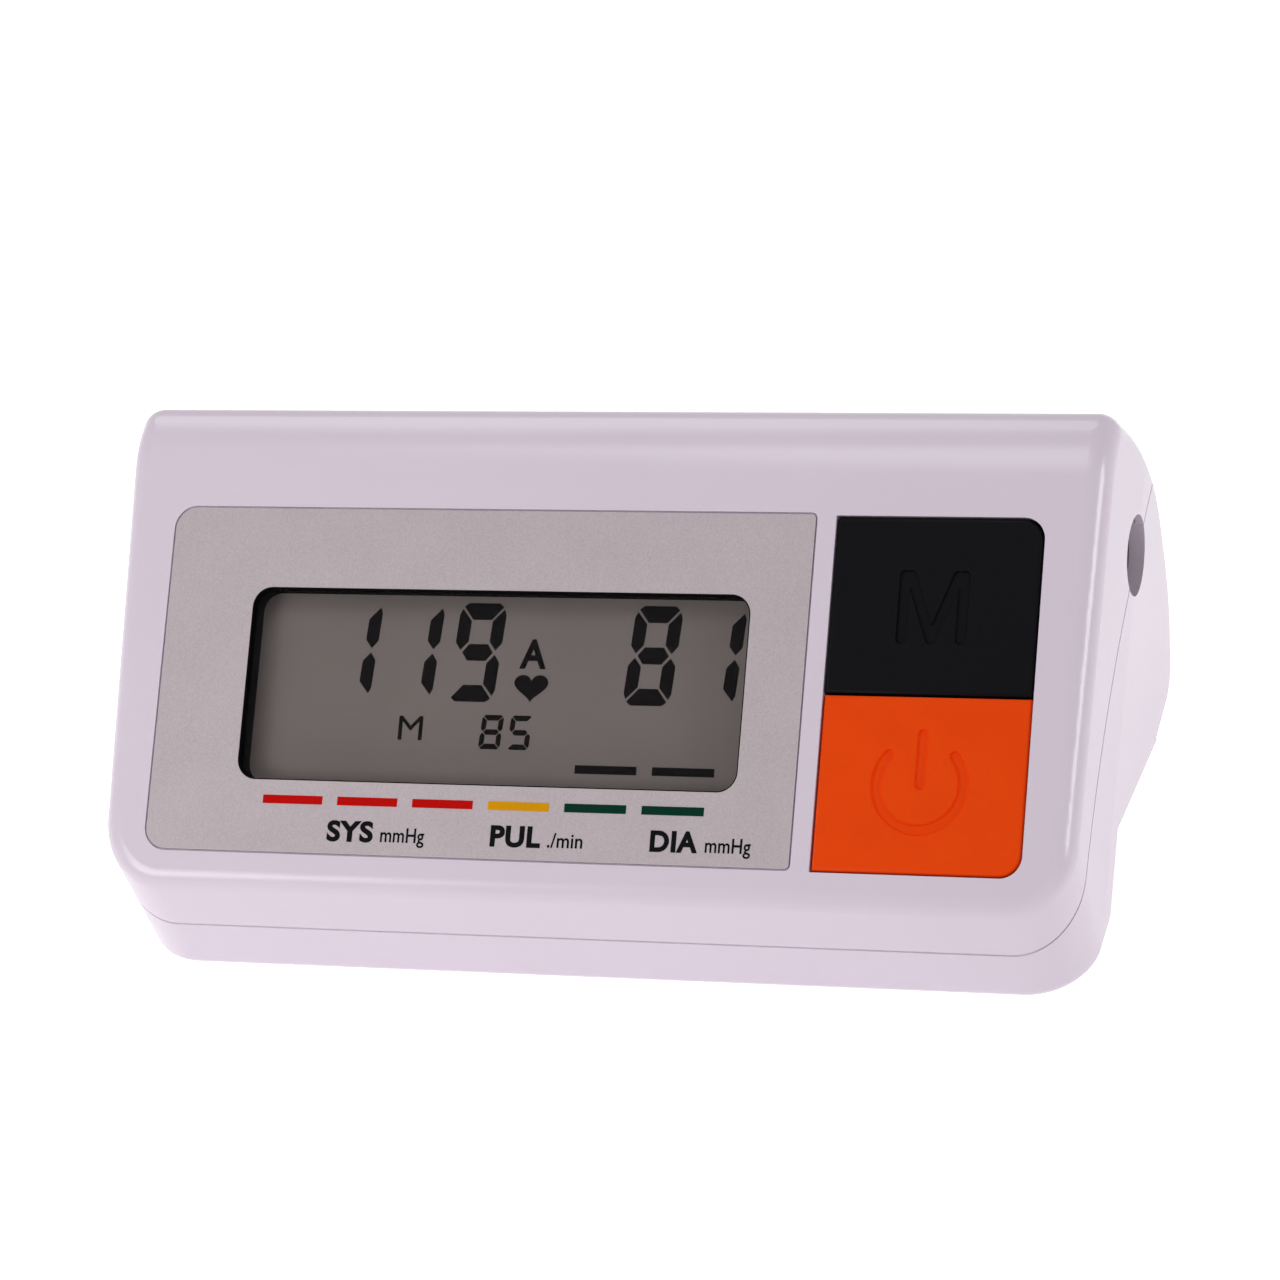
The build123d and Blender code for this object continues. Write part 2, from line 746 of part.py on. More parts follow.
def key(bottom, height, meets):
    """A key: top plate, skirt, retaining flange and the post over its switch."""
    low = bottom + button_gap if meets > 0 else bottom + button_gap / 2.0
    high = bottom + height - button_gap / 2.0 if meets > 0 else bottom + height - button_gap
    middle_v = bottom + height / 2.0
    flange_top = wall + flange_clearance
    flange_bottom = flange_top + flange_thickness
    flange_low = low - flange_width if meets > 0 else low
    flange_high = high if meets > 0 else high + flange_width
    with BuildPart() as cap:
        add(key_plate(low, high - low, 0.0, flange_bottom, meets, button_width - 2.0 * button_gap))
        top_rim = cap.faces().sort_by(face_axis)[-1].edges()
        fillet(top_rim, radius=button_edge_radius)
        with BuildSketch(face.offset(-flange_top)):
            with Locations((button_x, (flange_low + flange_high) / 2.0)):
                Rectangle(button_width - 2.0 * button_gap + 2.0 * flange_width, flange_high - flange_low)
        extrude(amount=-flange_thickness)
        with BuildSketch(face.offset(-flange_bottom)):
            with Locations((button_x, (low + high) / 2.0)):
                Rectangle(button_width - 2.0 * button_gap - 2.0 * button_wall, high - low - 2.0 * button_wall)
        extrude(amount=flange_bottom - button_wall, mode=Mode.SUBTRACT)
        with Locations(face.offset(-switch_top) * Pos(button_x, middle_v)):
            Cylinder(
                button_post_radius,
                switch_top - button_wall / 2.0,
                align=(Align.CENTER, Align.CENTER, Align.MIN),
            )
    return cap.part


with BuildPart() as power_button:
    add(key(button_bottom, power_height, 1))
power_button.part.label = "power_button"
export_step(power_button.part, "parts/power_button.step")

with BuildPart() as memory_button:
    add(key(memory_bottom, memory_height, -1))
memory_button.part.label = "memory_button"
export_step(memory_button.part, "parts/memory_button.step")

# ---------------------------------------------------------------- display
glass_width = window_width + 2.0 * glass_margin
glass_height = window_height + 2.0 * glass_margin
glass_top = well_depth + fit_gap
glass_bottom = glass_top + glass_thickness

with BuildPart() as lcd_glass:
    add(block(window_x, window_v, glass_top, glass_width, glass_height, glass_thickness))
lcd_glass.part.label = "lcd_glass"
export_step(lcd_glass.part, "parts/lcd_glass.step")

with BuildPart() as lcd_holder:
    outer_width = glass_width + 2.0 * (fit_gap + holder_wall)
    outer_height = glass_height + 2.0 * (fit_gap + holder_wall)
    holder_top = glass_top + holder_drop
    add(block(window_x, window_v, holder_top, outer_width, outer_height, board_depth - holder_top))
    add(
        block(window_x, window_v, 0.0, glass_width + 2.0 * fit_gap, glass_height + 2.0 * fit_gap, glass_bottom),
        mode=Mode.SUBTRACT,
    )
    # slots for the rubber contact strips, and the open middle between them
    strip_width = zebra_width + 2.0 * fit_gap
    strip_v = glass_height / 2.0 - zebra_inset - zebra_width / 2.0
    for v in (window_v - strip_v, window_v + strip_v):
        add(block(window_x, v, glass_bottom, zebra_length + 2.0 * fit_gap, strip_width, board_depth), mode=Mode.SUBTRACT)
    inner_height = 2.0 * (strip_v - zebra_width / 2.0 - fit_gap - holder_rail)
    add(block(window_x, window_v, glass_bottom, zebra_length, inner_height, board_depth), mode=Mode.SUBTRACT)
lcd_holder.part.label = "lcd_holder"
export_step(lcd_holder.part, "parts/lcd_holder.step")

with BuildPart() as zebra_strips:
    with Locations([face.offset(-glass_bottom) * Pos(window_x, window_v + hand * strip_v) for hand in (-1, 1)]):
        Box(
            zebra_length,
            zebra_width,
            board_depth - glass_bottom,
            align=(Align.CENTER, Align.CENTER, Align.MAX),
        )
zebra_strips.part.label = "zebra_strips"
export_step(zebra_strips.part, "parts/zebra_strips.step")

# ---------------------------------------------------------------- circuit board
with BuildPart() as main_board:
    add(block(0.0, board_middle_v, board_depth, board_width, board_height, board_thickness))
    with Locations([face.offset(-board_depth) * Pos(x, v) for x in board_screw_xs for v in board_screw_vs]):
        Hole(board_screw_radius + screw_clearance, depth=2.0 * board_thickness)
main_board.part.label = "main_board"
export_step(main_board.part, "parts/main_board.step")

with BuildPart() as board_screws:
    with Locations([face.offset(-board_under) * Pos(x, v) for x in board_screw_xs for v in board_screw_vs]):
        Cylinder(
            board_screw_head_radius,
            board_screw_head,
            align=(Align.CENTER, Align.CENTER, Align.MAX),
        )
        Cylinder(
            board_screw_radius,
            board_screw_length,
            align=(Align.CENTER, Align.CENTER, Align.MIN),
        )
board_screws.part.label = "board_screws"
export_step(board_screws.part, "parts/board_screws.step")


def switch_housing(v):
    """Body of a tactile switch with the bore its plunger slides in."""
    with BuildPart() as housing:
        add(block(button_x, v, board_depth - switch_body, switch_size, switch_size, switch_body))
        with Locations(face.offset(-board_depth + switch_body) * Pos(button_x, v)):
            Hole(switch_stem_radius + stem_clearance, depth=stem_depth)
    return housing.part


def switch_plunger(v):
    """The plunger under a key, resting inside its switch."""
    with BuildPart() as plunger:
        with Locations(face.offset(-switch_top) * Pos(button_x, v)):
            Cylinder(
                switch_stem_radius,
                switch_height - switch_body + stem_depth - button_travel - fit_gap,
                align=(Align.CENTER, Align.CENTER, Align.MAX),
            )
    return plunger.part


with BuildPart() as power_switch:
    add(switch_housing(power_v))
power_switch.part.label = "power_switch"
export_step(power_switch.part, "parts/power_switch.step")

with BuildPart() as power_switch_plunger:
    add(switch_plunger(power_v))
power_switch_plunger.part.label = "power_switch_plunger"
export_step(power_switch_plunger.part, "parts/power_switch_plunger.step")

with BuildPart() as memory_switch:
    add(switch_housing(memory_v))
memory_switch.part.label = "memory_switch"
export_step(memory_switch.part, "parts/memory_switch.step")

with BuildPart() as memory_switch_plunger:
    add(switch_plunger(memory_v))
memory_switch_plunger.part.label = "memory_switch_plunger"
export_step(memory_switch_plunger.part, "parts/memory_switch_plunger.step")

with BuildPart() as processor:
    add(block(processor_x, processor_v, board_under, processor_size, processor_size, processor_height))
processor.part.label = "processor"
export_step(processor.part, "parts/processor.step")

with BuildPart() as crystal:
    with BuildSketch(face.offset(-board_under)):
        with Locations((crystal_x, crystal_v)):
            SlotOverall(crystal_length, crystal_width)
    extrude(amount=-crystal_height)
crystal.part.label = "crystal"
export_step(crystal.part, "parts/crystal.step")

with BuildPart() as buzzer:
    with Locations(face.offset(-board_under) * Pos(buzzer_x, buzzer_v)):
        Cylinder(buzzer_radius, buzzer_height, align=(Align.CENTER, Align.CENTER, Align.MAX))
    with Locations(face.offset(-board_under - buzzer_height) * Pos(buzzer_x, buzzer_v)):
        Cylinder(buzzer_hole, buzzer_height / 2.0, align=(Align.CENTER, Align.CENTER, Align.MIN), mode=Mode.SUBTRACT)
buzzer.part.label = "buzzer"
export_step(buzzer.part, "parts/buzzer.step")

with BuildPart() as capacitor:
    with Locations(face.offset(-board_under) * Pos(capacitor_x, capacitor_v)):
        Cylinder(capacitor_radius, capacitor_height, align=(Align.CENTER, Align.CENTER, Align.MAX))
    far_rim = capacitor.edges().filter_by(GeomType.CIRCLE).sort_by(face_axis)[0]
    fillet(far_rim, radius=capacitor_rounding)
capacitor.part.label = "capacitor"
export_step(capacitor.part, "parts/capacitor.step")

with BuildPart() as pressure_sensor:
    add(block(sensor_x, sensor_v, board_under, sensor_size, sensor_size, sensor_height))
    with Locations(along_x(sensor_x - sensor_size / 2.0, sensor_v, sensor_port_n)):
        Cylinder(stub_radius, stub_length, align=(Align.CENTER, Align.CENTER, Align.MAX))
        Cylinder(stub_bore_radius, 2.0 * stub_length, mode=Mode.SUBTRACT)
pressure_sensor.part.label = "pressure_sensor"
export_step(pressure_sensor.part, "parts/pressure_sensor.step")

# ---------------------------------------------------------------- batteries
row_backs = (front_row, rear_row)
with BuildPart() as batteries:
    for row, back in zip((1, -1), row_backs):
        start = -bay_half_length + spring_gap if row > 0 else bay_half_length - spring_gap
        for place in (0, 1):
            root = start + row * place * (cell_length + cell_nub + cell_gap)
            with Locations(bay_along_x(root, back, cell_height)):
                lean_to = (Align.CENTER, Align.CENTER, Align.MIN if row > 0 else Align.MAX)
                Cylinder(cell_radius, cell_length, align=lean_to)
                Cylinder(cell_nub_radius, cell_length + cell_nub, align=lean_to)
batteries.part.label = "batteries"
export_step(batteries.part, "parts/batteries.step")


def contact_plate(hand, back, reach_across):
    """Flat contact against an end wall of the bay."""
    with BuildPart() as plate:
        with BuildSketch(bay_along_x(hand * bay_half_length, back, cell_height)):
            Rectangle(reach_across, contact_size)
        extrude(amount=-hand * contact_thickness)
        fillet(plate.edges().filter_by(Axis.X), radius=contact_thickness)
    return plate.part


def contact_nose(hand, back):
    """Raised nose that meets a cell's cap."""
    with BuildPart(bay_along_x(hand * bay_half_length, back, cell_height)) as nose:
        end = Align.MAX if hand > 0 else Align.MIN
        Cylinder(contact_nose_radius, contact_gap, align=(Align.CENTER, Align.CENTER, end))
    return nose.part


def contact_spring(hand, back):
    """Coil spring that meets a cell's flat end."""
    root = bay_along_x(hand * (bay_half_length - contact_thickness), back, cell_height)
    length = spring_gap - contact_thickness - spring_wire
    with BuildLine() as wire:
        coil = Helix(
            pitch=spring_pitch,
            height=length,
            radius=spring_radius,
            center=root.origin,
            direction=(-hand, 0, 0),
        )
    with BuildPart() as spring:
        with BuildSketch(Plane(origin=coil @ 0, z_dir=coil % 0)):
            Circle(spring_wire)
        sweep(path=wire.line, is_frenet=True)
    return spring.part


with BuildPart() as battery_bridge:
    add(contact_plate(-1, (front_row + rear_row) / 2.0, cell_pitch + contact_size))
    add(contact_nose(-1, rear_row))
    add(contact_spring(-1, front_row))
battery_bridge.part.label = "battery_bridge"
export_step(battery_bridge.part, "parts/battery_bridge.step")

with BuildPart() as positive_contact:
    add(contact_plate(1, front_row, contact_size))
    add(contact_nose(1, front_row))
positive_contact.part.label = "positive_contact"
export_step(positive_contact.part, "parts/positive_contact.step")

with BuildPart() as negative_contact:
    add(contact_plate(1, rear_row, contact_size))
    add(contact_spring(1, rear_row))
negative_contact.part.label = "negative_contact"
export_step(negative_contact.part, "parts/negative_contact.step")

with BuildPart() as battery_door:
    lid_half = bay_half_length + door_ledge
    lid_length = door_end - door_axis
    add(bay_block(0, door_axis, 0.0, 2.0 * lid_half, lid_length, door_radius))
    add(
        bay_block(
            0,
            door_axis,
            door_radius,
            2.0 * (bay_half_length - door_gap),
            lid_length - door_ledge - door_gap,
            door_radius,
        )
    )
    with Locations(bay_along_x(0, door_axis, door_radius)):
        Cylinder(door_radius, 2.0 * lid_half)
        Cylinder(door_pin_radius, 2.0 * (lid_half + door_pin_length))
    # two slots free the latch tab
    with Locations(bay * Pos(-latch_width / 2.0, door_end), bay * Pos(latch_width / 2.0, door_end)):
        Box(latch_slot, 2.0 * latch_length, 4.0 * door_radius, mode=Mode.SUBTRACT)
    with Locations([bay * Pos(0, door_end - (i + 1) * grip_pitch) for i in range(grip_count)]):
        Box(grip_length, grip_width, 2.0 * grip_depth, mode=Mode.SUBTRACT)
battery_door.part.label = "battery_door"
export_step(battery_door.part, "parts/battery_door.step")

# ---------------------------------------------------------------- screws and feet
with BuildPart() as case_screws:
    for y in case_screw_ys:
        for hand in (-1, 1):
            with Locations((hand * case_boss_x, y, parting_z(y) - case_seat)):
                Cylinder(
                    case_screw_radius,
                    case_screw_length,
                    align=(Align.CENTER, Align.CENTER, Align.MIN),
                )
                Cylinder(
                    case_screw_head_radius,
                    case_screw_head,
                    align=(Align.CENTER, Align.CENTER, Align.MAX),
                )
case_screws.part.label = "case_screws"
export_step(case_screws.part, "parts/case_screws.step")

with BuildPart() as rubber_feet:
    with Locations(
        (front_foot_x, front_foot_y, 0),
        (-front_foot_x, front_foot_y, 0),
        (rear_foot_x, rear_foot_y, 0),
        (-rear_foot_x, rear_foot_y, 0),
    ):
        Cylinder(foot_radius, foot_thickness, align=(Align.CENTER, Align.CENTER, Align.MIN))
rubber_feet.part.label = "rubber_feet"
export_step(rubber_feet.part, "parts/rubber_feet.step")

# ---------------------------------------------------------------- air and power
with BuildPart() as dc_jack:
    add(rod(inlet_x - jack_length, port_v, port_n, inlet_radius, jack_length))
    add(rod(inlet_x - jack_bore_depth, port_v, port_n, jack_bore_radius, jack_bore_depth), mode=Mode.SUBTRACT)
    add(rod(inlet_x - jack_length, port_v, port_n, jack_root_radius, jack_root_length), mode=Mode.SUBTRACT)
dc_jack.part.label = "dc_jack"
export_step(dc_jack.part, "parts/dc_jack.step")

with BuildPart() as dc_jack_pin:
    add(rod(inlet_x - jack_length, port_v, port_n, jack_root_radius, jack_root_length))
    add(rod(inlet_x - jack_bore_depth, port_v, port_n, jack_pin_radius, jack_pin_length))
    tip = dc_jack_pin.edges().filter_by(GeomType.CIRCLE).sort_by(Axis.X)[-1]
    fillet(tip, radius=jack_pin_radius / 2.0)
dc_jack_pin.part.label = "dc_jack_pin"
export_step(dc_jack_pin.part, "parts/dc_jack_pin.step")

with BuildPart() as air_socket:
    add(rod(-inlet_x, port_v, port_n, inlet_radius, socket_length))
    add(rod(-inlet_x + socket_length, port_v, port_n, stub_radius, stub_length))
    add(rod(-inlet_x, port_v, port_n, socket_bore_radius, socket_bore_depth), mode=Mode.SUBTRACT)
    add(rod(-inlet_x, port_v, port_n, stub_bore_radius, socket_length + stub_length), mode=Mode.SUBTRACT)
air_socket.part.label = "air_socket"
export_step(air_socket.part, "parts/air_socket.step")

manifold_right = manifold_left + manifold_length
right_ports = (
    (pump_port_v, pump_port_n),
    (valve_port_v, valve_port_n),
    (sensor_v, sensor_port_n),
)
with BuildPart() as air_manifold:
    add(
        block(
            manifold_x,
            manifold_bottom + manifold_height / 2.0,
            manifold_top,
            manifold_length,
            manifold_height,
            manifold_depth,
        )
    )
    fillet(air_manifold.edges().filter_by(Axis.X), radius=manifold_rounding)
    add(rod(manifold_left - stub_length, port_v, port_n, stub_radius, stub_length))
    add(rod(manifold_left - stub_length, port_v, port_n, stub_bore_radius, 2.0 * stub_length), mode=Mode.SUBTRACT)
    for v, n in right_ports:
        add(rod(manifold_right, v, n, stub_radius, stub_length))
        add(rod(manifold_right - stub_length, v, n, stub_bore_radius, 2.0 * stub_length), mode=Mode.SUBTRACT)
air_manifold.part.label = "air_manifold"
export_step(air_manifold.part, "parts/air_manifold.step")


def tube(left, right, v, n):
    """A straight silicone tube along X that grips a stub at each end."""
    with BuildPart() as hose:
        add(rod(left + tube_gap, v, n, tube_radius, right - left - 2.0 * tube_gap))
        add(rod(left, v, n, stub_radius, right - left), mode=Mode.SUBTRACT)
    return hose.part


with BuildPart() as socket_tube:
    add(tube(-inlet_x + socket_length, manifold_left, port_v, port_n))
socket_tube.part.label = "socket_tube"
export_step(socket_tube.part, "parts/socket_tube.step")

with BuildPart() as pump_tube:
    add(tube(manifold_right, pump_left, pump_port_v, pump_port_n))
pump_tube.part.label = "pump_tube"
export_step(pump_tube.part, "parts/pump_tube.step")

with BuildPart() as sensor_tube:
    add(tube(manifold_right, sensor_x - sensor_size / 2.0, sensor_v, sensor_port_n))
sensor_tube.part.label = "sensor_tube"
export_step(sensor_tube.part, "parts/sensor_tube.step")

with BuildPart() as valve_tube:
    add(tube(manifold_right, valve_left, valve_port_v, valve_port_n))
valve_tube.part.label = "valve_tube"
export_step(valve_tube.part, "parts/valve_tube.step")

with BuildPart() as deflation_valve:
    add(rod(valve_left, valve_port_v, valve_port_n, valve_radius, valve_length))
    fillet(deflation_valve.edges().filter_by(GeomType.CIRCLE), radius=valve_rounding)
    add(rod(valve_left - stub_length, valve_port_v, valve_port_n, stub_radius, stub_length))
    add(rod(valve_left + valve_length, valve_port_v, valve_port_n, valve_nose_radius, valve_nose))
    add(
        rod(valve_left - stub_length, valve_port_v, valve_port_n, stub_bore_radius, 2.0 * stub_length),
        mode=Mode.SUBTRACT,
    )
deflation_valve.part.label = "deflation_valve"
export_step(deflation_valve.part, "parts/deflation_valve.step")

with BuildPart() as pump_head:
    add(rod(pump_left, pump_v, pump_n, pump_radius, pump_head_length))
    near_rim = pump_head.edges().filter_by(GeomType.CIRCLE).sort_by(Axis.X)[0]
    fillet(near_rim, radius=pump_rounding)
    add(rod(pump_left - stub_length, pump_port_v, pump_port_n, stub_radius, stub_length))
    add(
        rod(pump_left - stub_length, pump_port_v, pump_port_n, stub_bore_radius, 2.0 * stub_length),
        mode=Mode.SUBTRACT,
    )
pump_head.part.label = "pump_head"
export_step(pump_head.part, "parts/pump_head.step")

with BuildPart() as pump_motor:
    add(rod(pump_left + pump_head_length, pump_v, pump_n, pump_radius, pump_motor_length))
    far_end = pump_motor.edges().filter_by(GeomType.CIRCLE).sort_by(Axis.X)[-1]
    fillet(far_end, radius=pump_rounding)
    add(rod(pump_right, pump_v, pump_n, pump_bearing_radius, pump_bearing_length))
pump_motor.part.label = "pump_motor"
export_step(pump_motor.part, "parts/pump_motor.step")

with BuildPart() as pump_sleeves:
    for x in pump_rib_xs:
        add(rod(x - sleeve_width / 2.0, pump_v, pump_n, pump_radius + sleeve_thickness, sleeve_width))
        add(rod(x - sleeve_width / 2.0, pump_v, pump_n, pump_radius, sleeve_width), mode=Mode.SUBTRACT)
pump_sleeves.part.label = "pump_sleeves"
export_step(pump_sleeves.part, "parts/pump_sleeves.step")
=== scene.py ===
"""Looks of a desktop blood pressure monitor: finishes, print, display, lamps and camera.

Sizes are millimetres until they reach Blender, which works in metres. Places on the sloping
face are (x, v, n): x to the right, v up the face, n out of it, from the printed overlay's
lower left corner.
"""

from math import cos, pi, radians, sin

import bmesh
import bpy
from mathutils import Matrix, Vector


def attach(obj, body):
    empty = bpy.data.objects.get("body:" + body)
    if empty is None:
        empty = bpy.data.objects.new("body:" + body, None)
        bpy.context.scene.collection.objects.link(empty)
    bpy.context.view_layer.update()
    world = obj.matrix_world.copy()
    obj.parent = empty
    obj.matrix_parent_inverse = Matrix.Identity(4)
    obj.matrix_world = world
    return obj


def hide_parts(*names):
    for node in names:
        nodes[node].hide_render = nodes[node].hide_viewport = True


mm = 0.001
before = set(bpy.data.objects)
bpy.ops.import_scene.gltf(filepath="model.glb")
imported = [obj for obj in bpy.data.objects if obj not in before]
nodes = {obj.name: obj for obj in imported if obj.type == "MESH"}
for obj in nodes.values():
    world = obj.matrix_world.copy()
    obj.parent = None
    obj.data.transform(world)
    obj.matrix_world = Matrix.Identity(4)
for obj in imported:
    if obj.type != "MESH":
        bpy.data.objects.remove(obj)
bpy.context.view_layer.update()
scene = bpy.context.scene

# ---------------------------------------------------------------- sizes of what is drawn
film = 0.03                    # thickness of printed ink and of display segments
shade_rim_thickness = 0.15           # black rims that paint the shade on the display window's inner walls
window_radius = 2.8            # corners of the display window
lens_margin = 2.0              # the clear window is this much wider, on each side
bar_left = 16.95               # coloured level bars under the display
bar_bottom = 6.65
bar_width = 8.75
bar_height = 1.17
bar_pitch = 10.94
legend_baseline = 1.85
name_height = 2.75
name_weight = 0.04             # extra boldness, as a share of the letters' size
unit_height = 1.95
unit_weight = 0.012
systolic_left = -25.8          # display content, from the middle of the glass
diastolic_left = 17.6
reading_bottom = -1.3
pulse_left = -2.55
pulse_bottom = -7.75
heart_middle = 4.35
heart_tip = -1.25
heart_width = 4.9
heart_height = 3.8
dash_lefts = (11.65, 22.65)
dash_bottom = -10.75
dash_width = 8.8
dash_height = 1.15
digit_width = 6.75             # big digits of the display
digit_height = 13.6
digit_bar = 2.3
digit_stem = 1.85
digit_pitch = 9.05
digit_slant = 0.0715           # shift to the right for each millimetre of height
small_width = 3.1              # small digits
small_height = 4.7
small_bar = 0.75
small_stem = 0.7
small_pitch = 4.15
groove_width = 1.4             # engraved signs on the keys
groove_depth = 0.4
groove_rounding = 0.1
groove_step = 0.004            # strokes that meet are cut to slightly different depths
cutter_top = 1.0               # the tool stands this far out of the surface
sign_shift = -0.2              # both signs, from the middle of their keys
memory_sign_lift = -0.7
power_sign_lift = 0.6
memory_sign_width = 8.1
memory_sign_height = 8.4
memory_sign_shoulder = 0.8     # the slanting strokes start this far inside the upright ones
memory_sign_foot = 0.05        # and end this far from the letter's middle
power_ring_radius = 5.95
power_ring_gap = 98.0          # degrees left open at the top
power_bar_bottom = 0.1
power_bar_top = 6.7
weld = 0.001                   # corners of a carved mesh that are this close become one
sharp_angle = 32.0             # degrees between faces from which an edge stays sharp
cross_width = 0.8              # driver recess in each screw head
cross_length = 3.2
cross_depth = 1.0
screw_tip_cut = 0.4            # taken off each screw's tip, clear of the pressed power key
copper_start = 0.72            # battery sleeves, as shares of a cell's length from its flat end
sleeve_middle = 0.492
sleeve_half = 0.482
flake_size = 0.16              # silver print
flake_share = 0.45


# ---------------------------------------------------------------- the face's own frame
def face_frame():
    """The overlay's printed side: x to the right, v up the face, n out of it, metres."""
    mesh = nodes["face_label"].data
    top = max(mesh.polygons, key=lambda p: (round(p.normal.z, 2), p.area))
    out = top.normal.normalized()
    right = Vector((1.0, 0.0, 0.0))
    up = out.cross(right)
    left = min(vertex.co.x for vertex in mesh.vertices)
    bottom = min(vertex.co.dot(up) for vertex in mesh.vertices)
    origin = right * left + up * bottom + out * top.center.dot(out)
    place = Matrix((right, up, out)).transposed().to_4x4()
    place.translation = origin
    return place


FACE = face_frame()
TO_FACE = FACE.inverted()


def extent(node):
    """A node's lowest and highest (x, v, n) on the face's frame, in millimetres."""
    places = [TO_FACE @ vertex.co / mm for vertex in nodes[node].data.vertices]
    low = Vector([min(p[axis] for p in places) for axis in range(3)])
    high = Vector([max(p[axis] for p in places) for axis in range(3)])
    return low, high


def on_face(x, v, n=0.0):
    """The place in the row frame, in metres, of a place on the face."""
    return FACE @ (Vector((x, v, n)) * mm)


# ---------------------------------------------------------------- finishes
def finish(
    name, colour, roughness, grain=0.4, depth=0.01, spread=0.04, mottle=6.0, metallic=0.0, specular=0.5
):
    """A moulded, printed or metal finish: fine grain, slight mottling and uneven gloss.

    grain and mottle are the sizes of the bumps and of the colour's patches, and depth is
    the bumps' height, all in millimetres; spread is how far the colour strays.
    """
    material = bpy.data.materials.new(name)
    material.use_nodes = True
    tree = material.node_tree
    shader = tree.nodes["Principled BSDF"]
    shader.inputs["Metallic"].default_value = metallic
    shader.inputs["Specular IOR Level"].default_value = specular
    place = tree.nodes.new("ShaderNodeTexCoord")

    patches = tree.nodes.new("ShaderNodeTexNoise")
    patches.inputs["Scale"].default_value = 1.0 / (mottle * mm)
    patches.inputs["Detail"].default_value = 3.0
    tree.links.new(place.outputs["Object"], patches.inputs["Vector"])
    shades = tree.nodes.new("ShaderNodeValToRGB")
    shades.color_ramp.elements[0].position = 0.3
    shades.color_ramp.elements[0].color = [*(c * (1.0 - spread) for c in colour), 1.0]
    shades.color_ramp.elements[1].position = 0.7
    shades.color_ramp.elements[1].color = [*(min(1.0, c * (1.0 + spread)) for c in colour), 1.0]
    tree.links.new(patches.outputs["Fac"], shades.inputs["Fac"])
    tree.links.new(shades.outputs["Color"], shader.inputs["Base Color"])

    gloss = tree.nodes.new("ShaderNodeMapRange")
    gloss.inputs["To Min"].default_value = roughness * 0.9
    gloss.inputs["To Max"].default_value = min(1.0, roughness * 1.1)
    tree.links.new(patches.outputs["Fac"], gloss.inputs["Value"])
    tree.links.new(gloss.outputs["Result"], shader.inputs["Roughness"])

    texture = tree.nodes.new("ShaderNodeTexNoise")
    texture.inputs["Scale"].default_value = 1.0 / (grain * mm)
    texture.inputs["Detail"].default_value = 2.0
    tree.links.new(place.outputs["Object"], texture.inputs["Vector"])
    bump = tree.nodes.new("ShaderNodeBump")
    bump.inputs["Strength"].default_value = 1.0
    bump.inputs["Distance"].default_value = depth * mm
    tree.links.new(texture.outputs["Fac"], bump.inputs["Height"])
    tree.links.new(bump.outputs["Normal"], shader.inputs["Normal"])
    return material


def srgb(red, green, blue):
    """A colour as it is seen, 0 to 255, turned into Blender's own linear values."""
    shares = [c / 255.0 for c in (red, green, blue)]
    return [c / 12.92 if c <= 0.04045 else ((c + 0.055) / 1.055) ** 2.4 for c in shares]


def speckled(name, colour, flake):
    """Silver print: the ground colour with fine lighter flakes of pigment in it."""
    material = finish(name, colour, 0.42, grain=0.25, depth=0.004, spread=0.03, mottle=9.0, metallic=0.15)
    tree = material.node_tree
    shader = tree.nodes["Principled BSDF"]
    place = tree.nodes["Texture Coordinate"]
    ground = shader.inputs["Base Color"].links[0].from_socket
    flakes = tree.nodes.new("ShaderNodeTexVoronoi")
    flakes.inputs["Scale"].default_value = 1.0 / (flake_size * mm)
    tree.links.new(place.outputs["Object"], flakes.inputs["Vector"])
    picked = tree.nodes.new("ShaderNodeMapRange")
    picked.inputs["To Max"].default_value = flake_share
    tree.links.new(flakes.outputs["Color"], picked.inputs["Value"])
    mix = tree.nodes.new("ShaderNodeMix")
    mix.data_type = "RGBA"
    mix.inputs["B"].default_value = [*flake, 1.0]
    tree.links.new(picked.outputs["Result"], mix.inputs["Factor"])
    tree.links.new(ground, mix.inputs["A"])
    tree.links.new(mix.outputs["Result"], shader.inputs["Base Color"])
    return material


def clear_window():
    """Thin clear plastic: it lets the display show and keeps a faint gloss of its own."""
    material = finish("lens_clear", srgb(40, 38, 40), 0.08, grain=2.0, depth=0.001, spread=0.02)
    shader = material.node_tree.nodes["Principled BSDF"]
    shader.inputs["Alpha"].default_value = 0.05
    return material


